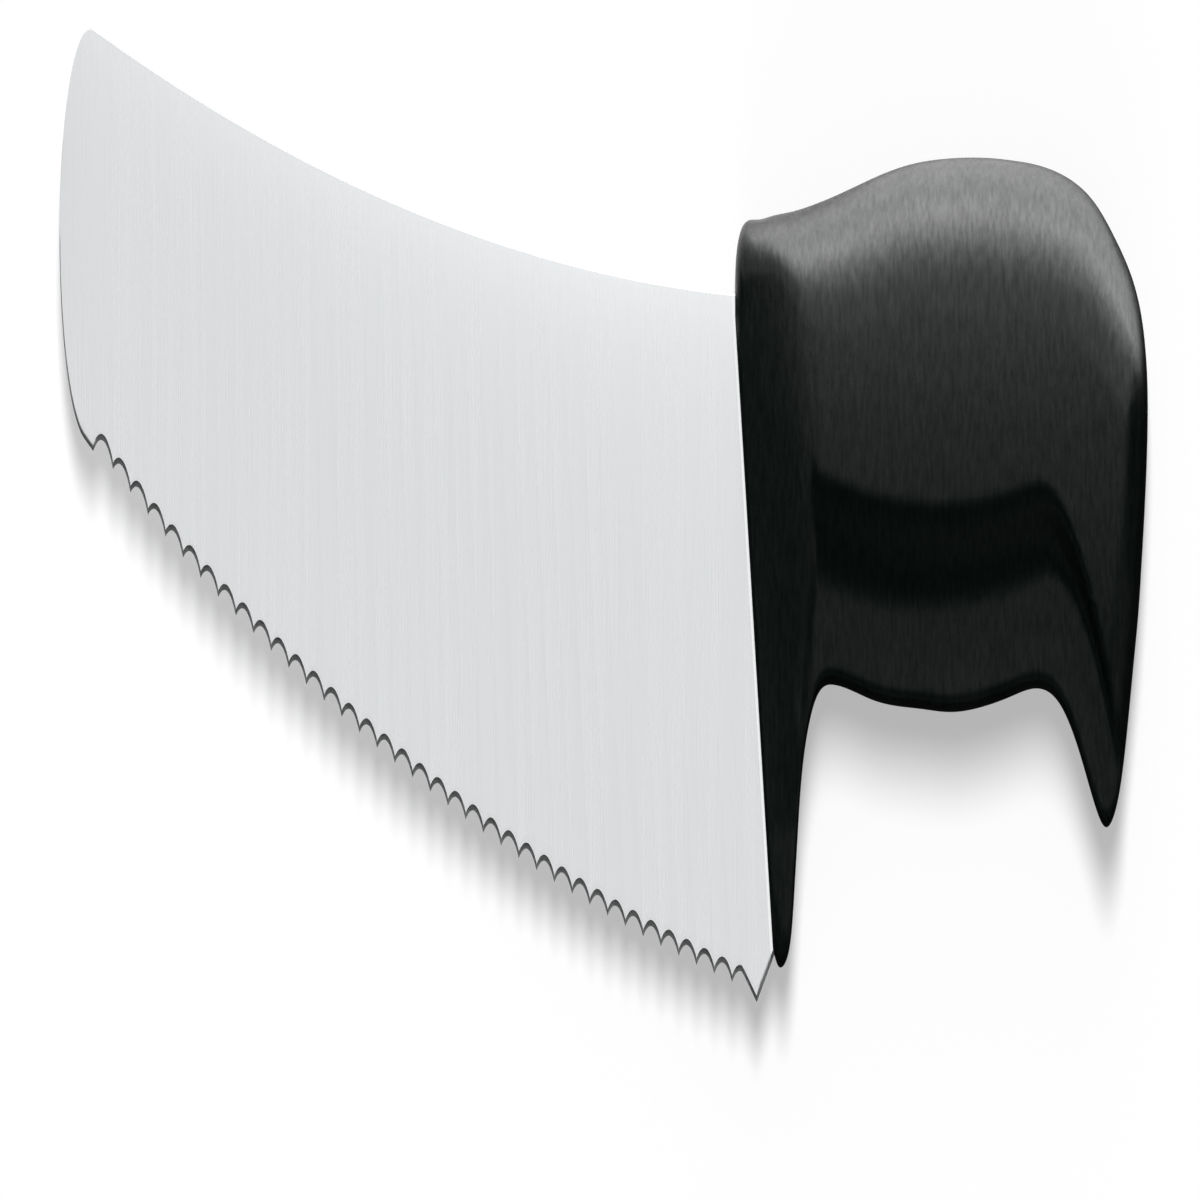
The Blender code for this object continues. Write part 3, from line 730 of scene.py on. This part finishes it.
# Y of the waist line at x: a shallow parabola that falls away at both ends, d being how far past
# the start of the fall x is: by d^3 / (d^2 + width^2) towards the butt, which starts gently, and
# by d^2 / (d + width) towards the guard.
def waistLine(x):
    h = handle
    past = np.maximum(x - (h["length"] - h["waistFallStart"]), 0)
    ahead = np.maximum(h["frontFallEnd"] - x, 0)
    bowed = np.minimum(np.abs(x - h["waistMiddle"]) / h["waistReach"], 1) ** 2
    return (h["waistBow"] * bowed - h["waistDrop"]
            - h["waistFall"] * past ** 3 / (past ** 2 + h["waistFallWidth"] ** 2)
            - h["frontFall"] * ahead ** 2 / (ahead + h["frontFallWidth"]))


# How far up the step at the waist line a place is, 0 on the finger ridge and 1 on the grip: a
# share of its width, raised to a power so that the foot is hollow, and smoothed. The width is
# measured square to the line, so along Y it is root(1 + slope^2) times as wide.
def aboveWaist(x, y):
    h = handle
    reach = h["slopeReach"]
    slope = (waistLine(x + reach) - waistLine(x - reach)) / (2 * reach)
    past = (x - h["length"] + h["waistFallStart"]) / h["pinchRun"]
    width = h["waistWidth"] - h["waistTaper"] * np.maximum(x - h["gripStart"], 0)
    width = width * (1 - h["waistPinch"] * smooth(past)) * np.sqrt(1 + slope ** 2)
    share = np.clip((y - waistLine(x)) / width + 0.5, 0, 1)
    return smooth(share ** h["waistHollow"])


# Half the handle's thickness at x and y, rim being the distance in from the outline: collar and
# guard slope up to the grip, which steps down at the waist line to the finger ridge along the
# belly, and a superellipse quarter rounds each region over to nothing at the outline. The slope
# is a hyperbola between its own line and full thickness; the crown is a parabola from the middle
# line to the back, and a flatter one from it to the belly and on down the beak. The front's rim
# is a quarter circle, and the pommel flares by a smoothed step.
def halfHandle(x, y, rim):
    h = handle
    behind = np.maximum(x - frontAt(y), 0) * math.cos(knife["lean"])
    run, soft = behind / h["swellRun"], h["swellSoft"]
    swollen = (run + 1 - np.sqrt((run - 1) ** 2 + soft)) / 2
    swollen = swollen - (1 - math.sqrt(1 + soft)) / 2
    grip = aboveWaist(x, y)
    below = (-y - h["gripHeight"] / 2) / (knife["edgeDrop"] - h["gripHeight"] / 2)
    collar = (h["collarThickness"]
              - (h["collarThickness"] - h["guardThickness"]) * smooth(below)) / 2
    flare = h["pommelFlare"] * smooth((x - h["length"]) / h["flareRun"] + 1)
    outer = collar + (h["gripThickness"] / 2 + flare - collar) * swollen
    aside = np.clip(y, -h["beakDrop"], h["gripHeight"] / 2) / (h["gripHeight"] / 2)
    outer = outer - np.where(y > 0, h["crown"], h["lowCrown"]) * aside ** 2 * swollen
    ridge = h["ridgeThickness"] / 2 - h["ridgeFall"] * np.maximum(waistLine(x) - y, 0)
    ridge = np.minimum(ridge, outer)
    full = ridge + (outer - ridge) * grip
    broad = (h["collarRounding"]
             + (h["gripRounding"] - h["collarRounding"]) * swollen ** h["roundingRise"])
    rounding = h["ridgeRounding"] + (broad - h["ridgeRounding"]) * grip
    inward = 1 - np.clip(rim / rounding, 0, 1)
    nose = 1 - np.clip(behind / h["frontRounding"], 0, 1)
    full = full - h["frontRounding"] * (1 - np.sqrt(1 - nose ** 2))
    power = h["ridgePower"] + (h["roundingPower"] - h["ridgePower"]) * grip
    return full * (1 - inward ** power) ** (1 / power)


# The handle's rings, butt to front: each goes from back to belly over the upper skin and home
# again over the lower one. Places along a ring bunch towards its ends, (1 - cos) / 2. Its ends,
# and the whole ring at the butt, lie on the outline itself, at no distance from it.
def handleRings():
    pace = np.linspace(0, 1, handle["stations"] + 1)
    crowded = pace - handle["crowding"] * np.sin(2 * math.pi * pace) / (2 * math.pi)
    rows = cubicThrough(handleRows(), crowded)
    back, belly = rows[:, None, :2], rows[:, None, 2:]
    share = (1 - np.cos(np.linspace(0, math.pi, handle["across"] + 1)))[None, :, None] / 2
    place = back + (belly - back) * share
    rim = distanceTo(handleOutline(rows), place.reshape(-1, 2)).reshape(place.shape[:2])
    rim[:, [0, -1]] = 0
    rim[-1] = 0
    height = halfHandle(place[..., 0], place[..., 1], rim)
    upper = np.concatenate([place, height[..., None]], axis=2)
    lower = np.concatenate([place, -height[..., None]], axis=2)
    return np.concatenate([upper, lower[:, -2:0:-1]], axis=1)[::-1]


plastic = {
    "colour": (0.0010, 0.0027, 0.0023, 1),
    "rubbed": (0.004, 0.0055, 0.0052, 1),
    "roughness": 0.4,
    "level": 0.16,
    "skin": 0.2,                      # weight of the moulded skin's gloss, in speckles
    "fineGrain": (2400, 2000, 2400),  # per metre
    "broadGrain": (880, 720, 880),
    "shadeSwing": 0.62,
    "roughnessSwing": 0.12,
    "relief": 0.015 * mm,
    "broadRelief": 5.0,               # how many times higher the broad grain stands
    "rimReach": 5 * mm,
    "rimRubbing": 0.7,
    "rimPatches": 60,                 # per metre
    "rimSmoother": 0.08,              # how much less rough the rubbed patches are
    "seamHalf": 0.1 * mm,
    "seamHeight": 0.06 * mm,
}


# Moulded black plastic: a fine two-sized grain, which the gloss of its skin follows, a slight
# sheen where hands rub the rims, and the mould's parting line all round, halfway through the
# thickness.
def makePlastic():
    material, tree, shader = newMaterial("mouldedPlastic")
    place = objectPlace(tree)
    grain = useGroup(tree, grainGroup, {
        "Vector": place, "Fine": plastic["fineGrain"], "Broad": plastic["broadGrain"],
        "Shade Swing": plastic["shadeSwing"], "Base Roughness": plastic["roughness"],
        "Roughness Swing": plastic["roughnessSwing"], "Relief": plastic["relief"],
        "Broad Relief": plastic["broadRelief"]})
    height = addNode(tree, "ShaderNodeSeparateXYZ", {0: place}).outputs["Z"]
    offset = maths(tree, "ABSOLUTE", maths(tree, "SUBTRACT", height, float(zero[2])), 0)
    seam = addNode(tree, "ShaderNodeMapRange",
                   {0: offset, 1: 0.0, 2: plastic["seamHalf"], 3: 1.0, 4: 0.0},
                   interpolation_type="SMOOTHSTEP").outputs[0]
    ridge = addNode(tree, "ShaderNodeBump", {"Strength": 1, "Distance": plastic["seamHeight"],
                    "Height": seam, "Normal": grain["Normal"]}).outputs[0]
    rim = addNode(tree, "ShaderNodeAttribute", attribute_name="rim").outputs["Fac"]
    rubbed = useGroup(tree, wearGroup, {"Vector": place, "Patch Scale": plastic["rimPatches"],
                                        "Rim": rim, "Amount": plastic["rimRubbing"]})["Mask"]
    colour = mixColour(tree, rubbed, plastic["colour"], plastic["rubbed"])
    smoother = maths(tree, "MULTIPLY_ADD", rubbed, -plastic["rimSmoother"], grain["Roughness"])
    tree.links.new(tinted(tree, colour, grain["Shade"]), shader.inputs["Base Color"])
    tree.links.new(smoother, shader.inputs["Roughness"])
    tree.links.new(ridge, shader.inputs["Normal"])
    skin = maths(tree, "ADD", grain["Shade"], plastic["skin"] - 1)
    tree.links.new(skin, shader.inputs["Coat Weight"])
    shader.inputs["Coat Roughness"].default_value = plastic["roughness"]
    shader.inputs["Specular IOR Level"].default_value = plastic["level"]
    return material


handleMaterial = makePlastic()
handlePiece = ringSkin("moulded_handle", handleRings(), handleMaterial, handle["crease"])
markRim(handlePiece, handleOutline(handleRows()), plastic["rimReach"])
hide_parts("handle")
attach(handlePiece, "root")
print("handle:", len(handlePiece.data.polygons), "faces")


# Studio

studio = {
    "floorHalf": 4.0,                 # of the floor's side, metres
    "fadeStart": 0.35,                # distances from the knife between which the floor
    "fadeEnd": 0.9,                   # goes over to plain white
    "white": 0.985,
    "floorGlow": 0.41,                # part of the floor's white that is its own light
    "bounce": 0.8,                    # its colour for light that it passes on
    "skyDiffuse": 0.18,               # the sky's strength as light
    "sunShare": 0.87,                 # how bright the sun alone makes a white surface
    "sunTilt": math.radians(12.6),    # from overhead, towards the spine's side
    "sunAngle": math.radians(17),
    "glow": {"dark": 0.01, "rim": 0.3, "near": 1.8, "low": 4.2, "bright": 12.2,
             "middle": 4.8, "upper": 2.0, "top": 3.3},
}


# Light Path's camera, glossy and transmission rays, as 1, and all others as 0.
def seenDirectly(tree):
    path = tree.nodes.new("ShaderNodeLightPath").outputs
    seen = maths(tree, "MAXIMUM", path["Is Camera Ray"], path["Is Glossy Ray"])
    return maths(tree, "MAXIMUM", seen, path["Is Transmission Ray"])


# The pale floor: near the knife it takes shadows, further out it is even white. Both are what
# the camera and reflections see; other rays meet a plain pale surface.
def makeFloor():
    material = bpy.data.materials.new("paleFloor")
    material.use_nodes = True
    tree = material.node_tree
    tree.nodes.clear()
    white, glow = studio["white"], studio["floorGlow"]
    away = addNode(tree, "ShaderNodeVectorMath", {0: objectPlace(tree)},
                   operation="LENGTH").outputs["Value"]
    far = addNode(tree, "ShaderNodeMapRange",
                  {0: away, 1: studio["fadeStart"], 2: studio["fadeEnd"]},
                  interpolation_type="SMOOTHSTEP").outputs[0]
    lit = addNode(tree, "ShaderNodeBsdfDiffuse", {"Color": (white - glow,) * 3 + (1,)})
    own = addNode(tree, "ShaderNodeEmission", {"Color": (1, 1, 1, 1), "Strength": glow})
    near = addNode(tree, "ShaderNodeAddShader", {0: lit.outputs[0], 1: own.outputs[0]})
    even = addNode(tree, "ShaderNodeEmission", {"Color": (1, 1, 1, 1), "Strength": white})
    seen = addNode(tree, "ShaderNodeMixShader",
                   {0: far, 1: near.outputs[0], 2: even.outputs[0]})
    plain = addNode(tree, "ShaderNodeBsdfDiffuse", {"Color": (studio["bounce"],) * 3 + (1,)})
    mix = addNode(tree, "ShaderNodeMixShader",
                  {0: seenDirectly(tree), 1: plain.outputs[0], 2: seen.outputs[0]})
    addNode(tree, "ShaderNodeOutputMaterial", {"Surface": mix.outputs[0]})
    return material


# A sheet swept along X or Y from a profile of places (out, up), with its two side limits.
def addSheet(name, profile, limits, along, material):
    points = []
    for out, up in profile:
        for side in limits:
            points.append((side, out, up) if along == "X" else (out, side, up))
    faces = [(2 * k, 2 * k + 1, 2 * k + 3, 2 * k + 2) for k in range(len(profile) - 1)]
    mesh = bpy.data.meshes.new(name)
    mesh.from_pydata(points, [], faces)
    mesh.materials.append(material)
    sheet = addObject(name, mesh)
    return sheet


floorSides = (-studio["floorHalf"], studio["floorHalf"])
addSheet("floor", [(side, 0) for side in floorSides], floorSides, "X", makeFloor())


# A plain glowing or dark finish for the sheets round the set, which only reflections see.
def makeGlow(name, level):
    material = bpy.data.materials.new(name)
    material.use_nodes = True
    tree = material.node_tree
    tree.nodes.clear()
    glow = addNode(tree, "ShaderNodeEmission", {"Color": (1, 1, 1, 1), "Strength": level})
    addNode(tree, "ShaderNodeOutputMaterial", {"Surface": glow.outputs[0]})
    return material


glowFinishes = {name: makeGlow(name + "Sheet", level) for name, level in studio["glow"].items()}

# Name, profile, side limits and direction, all in metres from the knife's middle, and glow.
sheets = [
    ("belowSheet", [(0.0, 0.002), (-0.35, 0.002)], (-0.5, 0.6), "X", "dark"),
    ("belowWall", [(-4, 0), (-4, 14)], (-2.5, 2.9), "X", "dark"),
    ("buttSheet", [(0.17, 0.003), (0.6, 0.003)], (-0.35, 0.12), "Y", "dark"),
    ("buttWall", [(4, 0), (4, 13)], (-4, 5), "Y", "dark"),
    ("collarWall", [(-4, 0), (-4, 24)], (-6, 1.5), "Y", "dark"),
    ("frontWall", [(-4, 0), (-4, 6)], (1.5, 2.3), "Y", "dark"),
    ("rimSheet", [(0.0205, 0.004), (0.0232, 0.004)], (0.052, 0.2), "X", "rim"),
    ("nearSheet", [(0.0232, 0.004), (0.03, 0.004)], (0.052, 0.25), "X", "near"),
    ("backSheet", [(0.03, 0.004), (0.07, 0.004)], (0.052, 0.25), "X", "low"),
    ("backWall", [(0.07, 0.004), (0.35, 0.05)], (0.055, 0.27), "X", "bright"),
    ("middleWall", [(0.35, 0.05), (0.4, 0.2)], (0.03, 0.29), "X", "middle"),
    ("upperWall", [(0.4, 0.2), (0.5, 0.8)], (0.0, 0.5), "X", "upper"),
    ("topWall", [(0.5, 0.8), (0.5, 1.8)], (-0.2, 0.5), "X", "top"),
]
for name, profile, limits, along, glow in sheets:
    sheet = addSheet(name, profile, limits, along, glowFinishes[glow])
    sheet.visible_camera = False
    sheet.visible_diffuse = False
    sheet.visible_shadow = False
    sheet.visible_transmission = False


# The world: white to the camera and to reflections, and much weaker as light.
def makeWorld():
    world = bpy.data.worlds.new("softRoom")
    world.use_nodes = True
    tree = world.node_tree
    seen = seenDirectly(tree)
    level = addNode(tree, "ShaderNodeMapRange",
                    {0: seen, 1: 0.0, 2: 1.0, 3: studio["skyDiffuse"], 4: 1.0}).outputs[0]
    background = tree.nodes["Background"]
    background.inputs["Color"].default_value = (1, 1, 1, 1)
    tree.links.new(level, background.inputs["Strength"])
    bpy.context.scene.world = world


makeWorld()


# One broad soft sun behind the knife's spine, high up: it draws the short soft shadow.
def addSun():
    data = bpy.data.lights.new("softSun", "SUN")
    data.energy = studio["sunShare"] * math.pi
    data.angle = studio["sunAngle"]
    sun = addObject("softSun", data)
    sun.rotation_euler = (-studio["sunTilt"], 0, 0)
    sun.visible_glossy = False


addSun()


# Camera

camera = {
    "centre": (-1.35 * mm, -4.75 * mm),
    "width": 447.48 * mm,             # of the knife and floor that the picture takes in
    "height": 1.0,                    # above the floor, metres
    "farthest": 10,                   # that it sees, metres
    "stretch": 6.666,                 # upright, as the photograph shows the knife
}


# Looks straight down. The photograph shows the knife stretched upright, with its length true, so
# the camera's upright axis leans along its own line of sight: one metre up the picture then
# covers 1 / stretch of a metre of the knife, and nothing on the knife itself is changed. The
# lean is held by an empty that carries the camera.
def addCamera():
    data = bpy.data.cameras.new("overhead")
    data.type = "ORTHO"
    data.ortho_scale = camera["width"]
    data.clip_end = camera["farthest"]
    rig = addObject("cameraRig", None)
    lens = addObject("overhead", data)
    flat = 1 / camera["stretch"]
    rise = math.sqrt(1 - flat ** 2)
    lens.parent = rig
    lens.matrix_parent_inverse = Matrix(((1, 0, 0, camera["centre"][0]),
                                         (0, flat, 0, camera["centre"][1]),
                                         (0, rise, 1, camera["height"]),
                                         (0, 0, 0, 1)))
    bpy.context.scene.camera = lens


addCamera()
bpy.context.scene.view_settings.view_transform = "Standard"
print("studio and camera ready")
